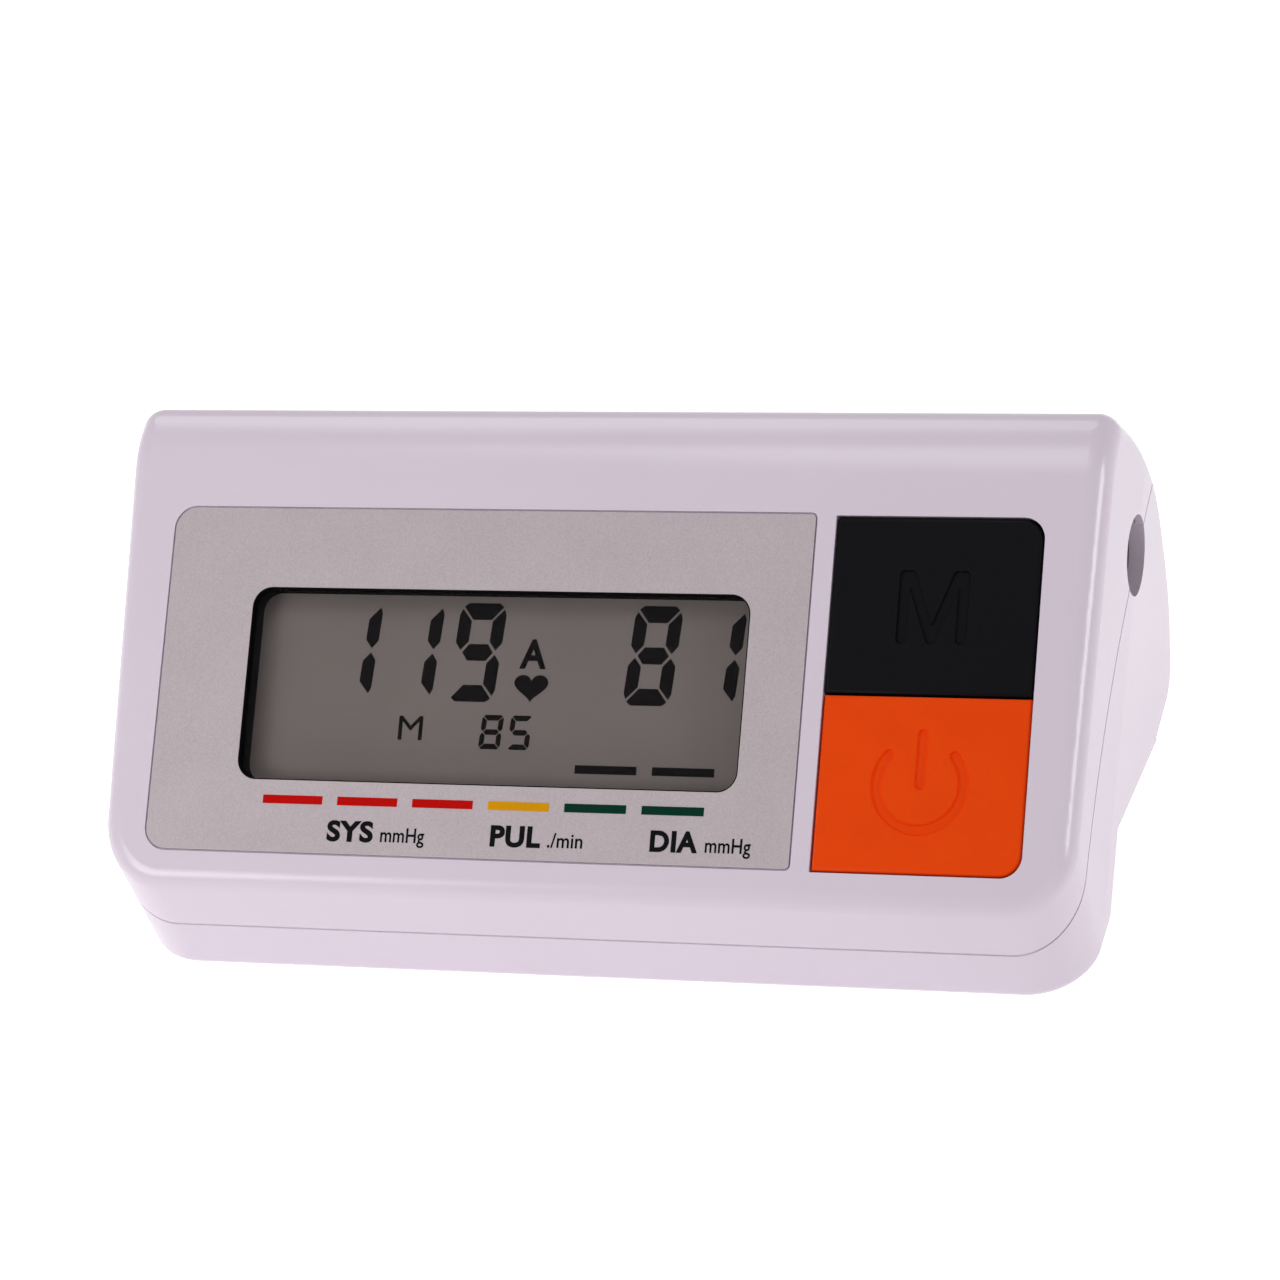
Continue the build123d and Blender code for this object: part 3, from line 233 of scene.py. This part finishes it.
def cell_sleeve():
    """Battery cells: dark sleeves, a copper band next to the raised end, and bare metal ends.

    The rear row's cells point the other way.
    """
    material = finish("cell_skin", srgb(28, 28, 32), 0.3, grain=1.2, depth=0.003, spread=0.08)
    tree = material.node_tree
    shader = tree.nodes["Principled BSDF"]
    colour = shader.inputs["Base Color"].links[0].from_socket
    places = [vertex.co for vertex in nodes["batteries"].data.vertices]
    middle_y = (min(p.y for p in places) + max(p.y for p in places)) / 2.0
    front_row = [p.x for p in places if p.y < middle_y]
    start = min(front_row)
    pitch = (max(front_row) - start) / 2.0

    def worked_out(operation, *values):
        step = tree.nodes.new("ShaderNodeMath")
        step.operation = operation
        for socket, value in zip(step.inputs, values):
            if isinstance(value, float):
                socket.default_value = value
            else:
                tree.links.new(value, socket)
        return step.outputs["Value"]

    axes = tree.nodes.new("ShaderNodeSeparateXYZ")
    tree.links.new(tree.nodes["Texture Coordinate"].outputs["Object"], axes.inputs["Vector"])
    rear = worked_out("GREATER_THAN", axes.outputs["Y"], middle_y)
    direction = worked_out("SUBTRACT", 1.0, worked_out("MULTIPLY", rear, 2.0))
    along = worked_out("MULTIPLY", axes.outputs["X"], direction)
    share = worked_out("FRACT", worked_out("DIVIDE", worked_out("SUBTRACT", along, start), pitch))
    copper = worked_out("GREATER_THAN", share, copper_start)
    from_middle = worked_out("ABSOLUTE", worked_out("SUBTRACT", share, sleeve_middle))
    bare = worked_out("GREATER_THAN", from_middle, sleeve_half)
    for paint, mask in ((srgb(176, 104, 52), copper), (srgb(190, 188, 184), bare)):
        mix = tree.nodes.new("ShaderNodeMix")
        mix.data_type = "RGBA"
        mix.inputs["B"].default_value = [*paint, 1.0]
        tree.links.new(mask, mix.inputs["Factor"])
        tree.links.new(colour, mix.inputs["A"])
        colour = mix.outputs["Result"]
    tree.links.new(colour, shader.inputs["Base Color"])
    tree.links.new(bare, shader.inputs["Metallic"])
    return material


FINISHES = {
    "housing_white": finish(
        "housing_white", srgb(233, 219, 234), 0.22, grain=0.5, depth=0.003, spread=0.012, mottle=30.0
    ),
    "label_silver": speckled("label_silver", srgb(178, 166, 171), srgb(213, 202, 206)),
    "lens_clear": clear_window(),
    "lcd_grey": finish(
        "lcd_grey", srgb(138, 128, 125), 0.55,
        grain=0.3, depth=0.003, spread=0.03, mottle=12.0, specular=0.05,
    ),
    "frame_black": finish("frame_black", srgb(16, 14, 15), 0.8, grain=0.6, specular=0.02),
    "zebra_pink": finish("zebra_pink", srgb(190, 150, 146), 0.7, grain=0.3),
    "key_black": finish(
        "key_black", srgb(8, 7, 11), 0.45, grain=0.35, depth=0.006, spread=0.05, specular=0.06
    ),
    "key_orange": finish(
        "key_orange", srgb(254, 76, 4), 0.4, grain=0.35, depth=0.006, spread=0.02, specular=0.08
    ),
    "board_green": finish("board_green", srgb(24, 84, 48), 0.4, grain=0.8, spread=0.12, mottle=3.0),
    "screw_steel": finish("screw_steel", srgb(176, 176, 180), 0.32, grain=0.3, spread=0.06, metallic=1.0),
    "switch_grey": finish("switch_grey", srgb(92, 92, 96), 0.5),
    "plunger_cream": finish("plunger_cream", srgb(224, 214, 190), 0.5),
    "chip_black": finish("chip_black", srgb(26, 26, 28), 0.55, grain=0.3),
    "can_steel": finish("can_steel", srgb(190, 190, 194), 0.3, metallic=1.0),
    "capacitor_blue": finish("capacitor_blue", srgb(40, 62, 140), 0.35),
    "sensor_ivory": finish("sensor_ivory", srgb(226, 220, 204), 0.45),
    "cell_skin": cell_sleeve(),
    "contact_nickel": finish(
        "contact_nickel", srgb(196, 192, 184), 0.28, grain=0.5, spread=0.05, metallic=1.0
    ),
    "foot_rubber": finish("foot_rubber", srgb(60, 60, 63), 0.85, grain=0.3, depth=0.02, spread=0.08),
    "jack_black": finish("jack_black", srgb(30, 30, 33), 0.45),
    "pin_brass": finish("pin_brass", srgb(206, 190, 140), 0.25, metallic=1.0),
    "socket_grey": finish("socket_grey", srgb(120, 120, 124), 0.5),
    "manifold_ivory": finish("manifold_ivory", srgb(228, 222, 206), 0.45),
    "tube_silicone": finish("tube_silicone", srgb(214, 210, 200), 0.5, grain=1.0, spread=0.05),
    "valve_steel": finish("valve_steel", srgb(180, 180, 184), 0.35, metallic=1.0),
    "pump_white": finish("pump_white", srgb(224, 222, 216), 0.5),
    "motor_steel": finish("motor_steel", srgb(168, 168, 172), 0.38, grain=0.8, spread=0.06, metallic=1.0),
    "sleeve_rubber": finish("sleeve_rubber", srgb(36, 36, 38), 0.85, grain=0.4, depth=0.02),
}
INK_BLACK = finish("ink_black", srgb(8, 7, 11), 0.5, grain=0.3, depth=0.002, specular=0.05)
INK_RED = finish("ink_red", srgb(200, 8, 4), 0.45, grain=0.3, depth=0.002, specular=0.05)
INK_YELLOW = finish("ink_yellow", srgb(230, 160, 6), 0.45, grain=0.3, depth=0.002, specular=0.05)
INK_GREEN = finish("ink_green", srgb(0, 50, 36), 0.45, grain=0.3, depth=0.002, specular=0.05)
SEGMENT = finish(
    "display_segment", srgb(16, 13, 15), 0.45, grain=0.3, depth=0.002, spread=0.08, specular=0.02
)

for node in nodes.values():
    for slot in node.material_slots:
        slot.material = FINISHES[slot.material.name.split(".")[0]]


# ---------------------------------------------------------------- mesh building blocks
def piece(name, mesh, material, body="housing"):
    """A finished piece of the object that rides on a body."""
    made = bpy.data.objects.new(name, mesh)
    scene.collection.objects.link(made)
    mesh.materials.clear()
    mesh.materials.append(material)
    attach(made, body)
    return made


def walls(form, rows):
    """Side faces between each closed row of corners and the next."""
    for row, following in zip(rows, rows[1:]):
        for i in range(len(row)):
            j = (i + 1) % len(row)
            form.faces.new((row[i], row[j], following[j], following[i]))


def built(form, name):
    """The mesh of a form that is complete, with its faces turned outwards."""
    bmesh.ops.recalc_face_normals(form, faces=form.faces)
    mesh = bpy.data.meshes.new(name)
    form.to_mesh(mesh)
    form.free()
    return mesh


def plates(name, outlines, bottom, thickness, material):
    """Flat plates on the face, one for each outline of (x, v) points, as one piece."""
    form = bmesh.new()
    for outline in outlines:
        lower = [form.verts.new(on_face(x, v, bottom)) for x, v in outline]
        upper = [form.verts.new(on_face(x, v, bottom + thickness)) for x, v in outline]
        form.faces.new(upper)
        form.faces.new(lower[::-1])
        walls(form, (lower, upper))
    return piece(name, built(form, name), material)


def rectangle(left, bottom, width, height):
    """Corner points of a rectangle, anticlockwise from its lower left."""
    right = left + width
    top = bottom + height
    return [(left, bottom), (right, bottom), (right, top), (left, top)]


def rounded_outline(low, high, radius, steps=10):
    """Corner points of a rounded rectangle, anticlockwise from its lower left."""
    centres = (
        (low.x + radius, low.y + radius, pi),
        (high.x - radius, low.y + radius, 1.5 * pi),
        (high.x - radius, high.y - radius, 0.0),
        (low.x + radius, high.y - radius, 0.5 * pi),
    )
    points = []
    for x, v, start in centres:
        for i in range(steps + 1):
            angle = start + 0.5 * pi * i / steps
            points.append((x + radius * cos(angle), v + radius * sin(angle)))
    return points


def ring(name, low, high, radius, thickness, top, bottom, material):
    """A thin upright wall that follows a rounded rectangle on its inner side."""
    inset = Vector((thickness, thickness, 0.0))
    outer = rounded_outline(low, high, radius)
    inner = rounded_outline(low + inset, high - inset, radius - thickness)
    form = bmesh.new()
    rows = [
        [form.verts.new(on_face(x, v, n)) for x, v in outline]
        for outline, n in ((outer, bottom), (outer, top), (inner, top), (inner, bottom))
    ]
    walls(form, rows + rows[:1])
    return piece(name, built(form, name), material)


def letters(name, text, left, baseline, width, height, weight, material, bottom=0.0):
    """Printed letters, scaled so that their ink is as wide and as high as stated."""
    curve = bpy.data.curves.new(name, "FONT")
    curve.body = text
    curve.offset = weight
    curve.space_character = 1.0 + 2.0 * weight
    half_depth = 0.5
    curve.extrude = half_depth
    curve.resolution_u = 6
    source = bpy.data.objects.new(name + "_source", curve)
    scene.collection.objects.link(source)
    bpy.context.view_layer.update()
    graph = bpy.context.evaluated_depsgraph_get()
    mesh = bpy.data.meshes.new_from_object(source.evaluated_get(graph))
    bpy.data.objects.remove(source)
    xs = [vertex.co.x for vertex in mesh.vertices]
    ys = [vertex.co.y for vertex in mesh.vertices]
    across = width / (max(xs) - min(xs))
    upward = height / max(ys)
    for vertex in mesh.vertices:
        x = left + (vertex.co.x - min(xs)) * across
        v = baseline + vertex.co.y * upward
        vertex.co = on_face(x, v, bottom + (vertex.co.z + half_depth) * film)
    return piece(name, mesh, material)


# ---------------------------------------------------------------- display content
def segment_outlines(width, height, bar, stem):
    """Outlines of a seven-segment digit's segments a to g, lower left corner at the origin."""
    middle = height / 2.0
    top = [
        (0.28 * stem, height - 0.22 * bar),
        (0.63 * stem, height),
        (width - 0.63 * stem, height),
        (width - 0.28 * stem, height - 0.22 * bar),
        (width - 1.1 * stem, height - bar),
        (1.1 * stem, height - bar),
    ]
    upper_left = [
        (0.19 * stem, height - 0.37 * bar),
        (0.0, height - 0.7 * bar),
        (0.0, middle + 0.6 * bar),
        (0.45 * stem, middle + 0.13 * bar),
        (stem, middle + 0.65 * bar),
        (stem, height - 1.08 * bar),
    ]
    crossbar = [
        (0.62 * stem, middle),
        (1.1 * stem, middle + bar / 2.0),
        (width - 1.1 * stem, middle + bar / 2.0),
        (width - 0.62 * stem, middle),
        (width - 1.1 * stem, middle - bar / 2.0),
        (1.1 * stem, middle - bar / 2.0),
    ]
    upper_right = [(width - x, v) for x, v in upper_left]
    lower_left = [(x, height - v) for x, v in upper_left]
    lower_right = [(width - x, height - v) for x, v in upper_left]
    foot = [(x, height - v) for x, v in top]
    return dict(a=top, b=upper_right, c=lower_right, d=foot, e=lower_left, f=upper_left, g=crossbar)


LIT = {"1": "bc", "5": "acdfg", "8": "abcdefg", "9": "abcdfg"}


def digits(name, text, left, baseline, width, height, bar, stem, pitch, depth):
    """Slanted seven-segment digits on the display glass."""
    shapes = segment_outlines(width, height, bar, stem)
    outlines = []
    for place, figure in enumerate(text):
        for key in LIT[figure]:
            start = left + place * pitch
            outlines.append([(start + x + v * digit_slant, baseline + v) for x, v in shapes[key]])
    return plates(name, outlines, depth, film, SEGMENT)


def heart_outline(x, v, width, height, steps=48):
    """A plain heart, centred on x, its tip at v.

    The usual heart curve is 29 units high, and its tip is 17 units below its own origin.
    """
    points = []
    for i in range(steps):
        angle = 2.0 * pi * i / steps
        across = sin(angle) ** 3
        upward = 13.0 * cos(angle) - 5.0 * cos(2 * angle) - 2.0 * cos(3 * angle) - cos(4 * angle)
        points.append((x - across * width / 2.0, v + (upward + 17.0) / 29.0 * height))
    return points


def display():
    """What the liquid crystal shows, placed from the glass's own middle."""
    low, high = extent("lcd_glass")
    centre = (low + high) / 2.0
    surface = high.z
    big = (digit_width, digit_height, digit_bar, digit_stem, digit_pitch)
    small = (small_width, small_height, small_bar, small_stem, small_pitch)
    for name, text, left, bottom, sizes in (
        ("display_systolic", "119", systolic_left, reading_bottom, big),
        ("display_diastolic", "81", diastolic_left, reading_bottom, big),
        ("display_pulse", "85", pulse_left, pulse_bottom, small),
    ):
        digits(name, text, centre.x + left, centre.y + bottom, *sizes, surface)
    for name, text, left, bottom, width, height, weight in (
        ("display_mode", "A", 2.4, 3.55, 3.85, 3.9, 0.03),
        ("display_memory", "M", -14.35, -6.75, 3.5, 3.3, 0.0),
    ):
        letters(name, text, centre.x + left, centre.y + bottom, width, height, weight, SEGMENT, surface)
    heart = heart_outline(centre.x + heart_middle, centre.y + heart_tip, heart_width, heart_height)
    plates("display_heart", [heart], surface, film, SEGMENT)
    dashes = [
        rectangle(centre.x + left, centre.y + dash_bottom, dash_width, dash_height) for left in dash_lefts
    ]
    plates("display_dashes", dashes, surface, film, SEGMENT)


# ---------------------------------------------------------------- print on the overlay, and painted shade in the display window
def level_bars():
    """Six coloured bars: red for high readings down to green."""
    inks = (("red", INK_RED, (0, 1, 2)), ("yellow", INK_YELLOW, (3,)), ("green", INK_GREEN, (4, 5)))
    for name, ink, places in inks:
        outlines = [
            rectangle(bar_left + place * bar_pitch, bar_bottom, bar_width, bar_height) for place in places
        ]
        plates("bars_" + name, outlines, 0.0, film, ink)


def legends():
    """Plain function words for the three readings."""
    for name, left, width, unit, unit_left, unit_width in (
        ("SYS", 26.8, 6.75, "mmHg", 34.65, 6.35),
        ("PUL", 50.5, 7.2, "./min", 58.7, 5.0),
        ("DIA", 73.2, 6.7, "mmHg", 80.95, 6.35),
    ):
        letters(
            "legend_" + name, name,
            left, legend_baseline, width, name_height, name_weight, INK_BLACK,
        )
        letters(
            "unit_" + name, unit,
            unit_left, legend_baseline, unit_width, unit_height, unit_weight, INK_BLACK,
        )


def window_shade_rims():
    """Black rims that line the display window, and a black border in the clear window: painted shade
    standing in for the shadow on the window's inner walls.
    """
    lens_low, lens_high = extent("display_lens")
    margin = Vector((lens_margin, lens_margin, 0.0))
    low, high = lens_low + margin, lens_high - margin
    glass_top = extent("lcd_glass")[1].z
    black = FINISHES["frame_black"]
    # painted shade: the rings' black stands in for the shadow on the window's inner walls and on the clear
    # window's margin
    ring("window_edge_shade", low, high, window_radius, shade_rim_thickness, 0.0, lens_high.z, black)
    ring("window_liner_shade", low, high, window_radius, shade_rim_thickness, lens_low.z, glass_top, black)
    inset = Vector((film, film, 0.0))
    ring(
        "window_border_shade",
        lens_low + inset,
        lens_high - inset,
        window_radius + lens_margin - film,
        lens_margin - film + shade_rim_thickness,
        lens_low.z + 2.0 * film,
        lens_low.z + film,
        black,
    )


# ---------------------------------------------------------------- engraved keys and screws
def stroke_outline(path, radius, steps=12):
    """Outline of a round-ended stroke of the given half width along a path of (x, v) points."""
    ahead = [(b - a).normalized() for a, b in zip(path, path[1:])]
    ahead = [(a + b).normalized() for a, b in zip(ahead[:1] + ahead, ahead + ahead[-1:])]
    across = [Vector((-along.y, along.x)) for along in ahead]
    outline = [point + side * radius for point, side in zip(path, across)]
    for centre, side, along in ((path[-1], across[-1], ahead[-1]), (path[0], -across[0], -ahead[0])):
        for i in range(1, steps):
            angle = pi * i / steps
            outline.append(centre + (side * cos(angle) + along * sin(angle)) * radius)
        if centre == path[-1]:
            outline += [point - side * radius for point, side in zip(path[::-1], across[::-1])]
    return outline


def stroke_cutter(path, surface):
    """The tool that engraves a stroke: upright walls, a rounded floor and a softened rim."""
    half = groove_width / 2.0
    levels = (
        (-groove_depth, half - groove_rounding),
        (-groove_depth + groove_rounding, half),
        (-groove_rounding, half),
        (groove_rounding, half + 2.0 * groove_rounding),
        (cutter_top, half + 2.0 * groove_rounding),
    )
    form = bmesh.new()
    rows = [
        [form.verts.new(on_face(p.x, p.y, surface + depth)) for p in stroke_outline(path, radius)]
        for depth, radius in levels
    ]
    form.faces.new(rows[0])
    form.faces.new(rows[-1][::-1])
    walls(form, rows)
    return built(form, "cutter")


def carved(node, name, cutters, body):
    """A copy of a CAD node with the cutters' shapes cut out of it, in the node's place."""
    source = nodes[node]
    mesh = source.data.copy()
    form = bmesh.new()
    form.from_mesh(mesh)
    bmesh.ops.remove_doubles(form, verts=form.verts, dist=weld * mm)
    form.to_mesh(mesh)
    form.free()
    made = piece(name, mesh, source.data.materials[0], body)
    tools = []
    for cutter in cutters:
        tool = bpy.data.objects.new("cutter", cutter)
        scene.collection.objects.link(tool)
        cut = made.modifiers.new("cut", "BOOLEAN")
        cut.operation = "DIFFERENCE"
        cut.solver = "EXACT"
        cut.object = tool
        tools.append(tool)
    bpy.context.view_layer.update()
    graph = bpy.context.evaluated_depsgraph_get()
    cut_mesh = bpy.data.meshes.new_from_object(made.evaluated_get(graph))
    made.modifiers.clear()
    made.data = cut_mesh
    for tool in tools:
        bpy.data.objects.remove(tool)
    for polygon in cut_mesh.polygons:
        polygon.use_smooth = True
    cut_mesh.set_sharp_from_angle(angle=radians(sharp_angle))
    even = made.modifiers.new("even", "WEIGHTED_NORMAL")
    even.keep_sharp = True
    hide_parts(node)
    return made


def engraved_keys():
    """The memory key's letter and the power key's ring and bar, as engraved strokes."""
    low, high = extent("memory_button")
    x = (low.x + high.x) / 2.0 + sign_shift
    v = (low.y + high.y) / 2.0 + memory_sign_lift
    half = memory_sign_width / 2.0
    shoulder = half - memory_sign_shoulder
    top = v + memory_sign_height / 2.0
    bottom = v - memory_sign_height / 2.0
    strokes = (
        (-half, -half),
        (-shoulder, -memory_sign_foot),
        (shoulder, memory_sign_foot),
        (half, half),
    )
    cutters = []
    for place, (head, foot) in enumerate(strokes):
        path = [Vector((x + head, top)), Vector((x + foot, bottom))]
        cutters.append(stroke_cutter(path, high.z - place * groove_step))
    carved("memory_button", "memory_key_cap", cutters, "memory_key")

    low, high = extent("power_button")
    x = (low.x + high.x) / 2.0 + sign_shift
    v = (low.y + high.y) / 2.0 + power_sign_lift
    steps = 60
    span = 360.0 - power_ring_gap
    arc = []
    for i in range(steps + 1):
        angle = radians(90.0 + power_ring_gap / 2.0 + span * i / steps)
        arc.append(Vector((x, v)) + Vector((cos(angle), sin(angle))) * power_ring_radius)
    bar = [Vector((x, v + power_bar_bottom)), Vector((x, v + power_bar_top))]
    cutters = [stroke_cutter(arc, high.z), stroke_cutter(bar, high.z)]
    carved("power_button", "power_key_cap", cutters, "power_key")


def driven_screws():
    """The case screws, with a cross recess in each head and room for the pressed key at the tip."""
    places = [vertex.co for vertex in nodes["case_screws"].data.vertices]
    middle_y = (min(p.y for p in places) + max(p.y for p in places)) / 2.0
    half = cross_width * mm / 2.0
    arm = cross_length * mm / 2.0
    quarter = [(half, arm), (half, half), (arm, half)]
    cross = []
    for _ in range(4):
        cross += quarter
        quarter = [(y, -x) for x, y in quarter]
    square = [(-arm, -arm), (-arm, arm), (arm, arm), (arm, -arm)]
    form = bmesh.new()
    for left in (True, False):
        for front in (True, False):
            screw = [p for p in places if (p.x < 0.0) == left and (p.y < middle_y) == front]
            x = (min(p.x for p in screw) + max(p.x for p in screw)) / 2.0
            y = (min(p.y for p in screw) + max(p.y for p in screw)) / 2.0
            bottom = min(p.z for p in screw)
            top = max(p.z for p in screw)
            for outline, levels in (
                (cross, (bottom - cross_depth * mm, bottom + cross_depth * mm)),
                (square, (top - screw_tip_cut * mm, top + screw_tip_cut * mm)),
            ):
                lower, upper = [[form.verts.new((x + dx, y + dy, z)) for dx, dy in outline] for z in levels]
                form.faces.new(lower)
                form.faces.new(upper[::-1])
                walls(form, (lower, upper))
    carved("case_screws", "case_screw_heads", [built(form, "cutter")], "housing")


# ---------------------------------------------------------------- camera, floor and lamps
def camera():
    """The photograph's own viewpoint, solved from the straight edges of the face."""
    right = Vector((0.9399, 0.2658, -0.2144))
    up = Vector((-0.0182, 0.6660, 0.7457))
    back = Vector((0.3410, -0.6970, 0.6308))
    lens = bpy.data.cameras.new("camera")
    lens.lens = 156.5
    lens.sensor_width = 36.0
    made = bpy.data.objects.new("camera", lens)
    scene.collection.objects.link(made)
    place = Matrix((right, up, back)).transposed().to_4x4()
    place.translation = Vector((0.2604, -0.5239, 0.5077))
    made.matrix_world = place
    scene.camera = made


def seen_directly(tree):
    """1 for rays that show the background: from the camera, in gloss and through glass."""
    path = tree.nodes.new("ShaderNodeLightPath")
    total = path.outputs["Is Camera Ray"]
    for name in ("Is Glossy Ray", "Is Transmission Ray"):
        add = tree.nodes.new("ShaderNodeMath")
        add.operation = "MAXIMUM"
        tree.links.new(total, add.inputs[0])
        tree.links.new(path.outputs[name], add.inputs[1])
        total = add.outputs["Value"]
    return total


def floor():
    """A pale light table that looks white and lights the object from below.

    It is clear from underneath, so that the object's underside can be looked at.
    """
    reach = 4.0
    mesh = bpy.data.meshes.new("floor")
    corners = [(-reach, -reach, 0.0), (reach, -reach, 0.0), (reach, reach, 0.0), (-reach, reach, 0.0)]
    mesh.from_pydata(corners, [], [(0, 1, 2, 3)])
    material = bpy.data.materials.new("floor")
    material.use_nodes = True
    tree = material.node_tree
    shader = tree.nodes["Principled BSDF"]
    shader.inputs["Base Color"].default_value = [0.86, 0.86, 0.86, 1.0]
    shader.inputs["Roughness"].default_value = 0.9
    shader.inputs["Specular IOR Level"].default_value = 0.0
    shader.inputs["Emission Color"].default_value = [1.0, 1.0, 1.0, 1.0]
    strength = tree.nodes.new("ShaderNodeMapRange")
    strength.inputs["To Min"].default_value = 0.4
    strength.inputs["To Max"].default_value = 0.62
    tree.links.new(seen_directly(tree), strength.inputs["Value"])
    tree.links.new(strength.outputs["Result"], shader.inputs["Emission Strength"])
    side = tree.nodes.new("ShaderNodeNewGeometry")
    clear = tree.nodes.new("ShaderNodeBsdfTransparent")
    mix = tree.nodes.new("ShaderNodeMixShader")
    tree.links.new(side.outputs["Backfacing"], mix.inputs["Fac"])
    tree.links.new(shader.outputs["BSDF"], mix.inputs[1])
    tree.links.new(clear.outputs["BSDF"], mix.inputs[2])
    tree.links.new(mix.outputs["Shader"], tree.nodes["Material Output"].inputs["Surface"])
    mesh.materials.append(material)
    made = bpy.data.objects.new("floor", mesh)
    scene.collection.objects.link(made)


def surroundings(ambient):
    """Soft light from all round, and white wherever the background itself is seen."""
    world = bpy.data.worlds.new("studio")
    scene.world = world
    world.use_nodes = True
    tree = world.node_tree
    background = tree.nodes["Background"]
    background.inputs["Color"].default_value = [1.0, 1.0, 1.0, 1.0]
    strength = tree.nodes.new("ShaderNodeMapRange")
    strength.inputs["To Min"].default_value = ambient
    strength.inputs["To Max"].default_value = 1.0
    tree.links.new(seen_directly(tree), strength.inputs["Value"])
    tree.links.new(strength.outputs["Result"], background.inputs["Strength"])


def lamp(name, place, target, size, power):
    """A soft square lamp that faces the target."""
    light = bpy.data.lights.new(name, "AREA")
    light.size = size
    light.energy = power
    made = bpy.data.objects.new(name, light)
    scene.collection.objects.link(made)
    made.location = place
    made.rotation_euler = (Vector(place) - Vector(target)).to_track_quat("Z", "Y").to_euler()


camera()
floor()
surroundings(ambient=0.26)
for name, place, size, power in (
    ("lamp_right", (1.25, -0.09, 0.57), 0.4, 3.9),
    ("lamp_rear", (-0.5, 0.76, 1.16), 0.5, 2.2),
    ("lamp_above", (-0.2, -0.1, 1.3), 0.5, 2.1),
    ("lamp_left", (-0.3, -0.35, 0.25), 0.2, 0.7),
):
    lamp(name, place, (0.0, 0.0, 0.03), size, power)
scene.view_settings.view_transform = "Standard"

display()
level_bars()
legends()
window_shade_rims()
engraved_keys()
driven_screws()
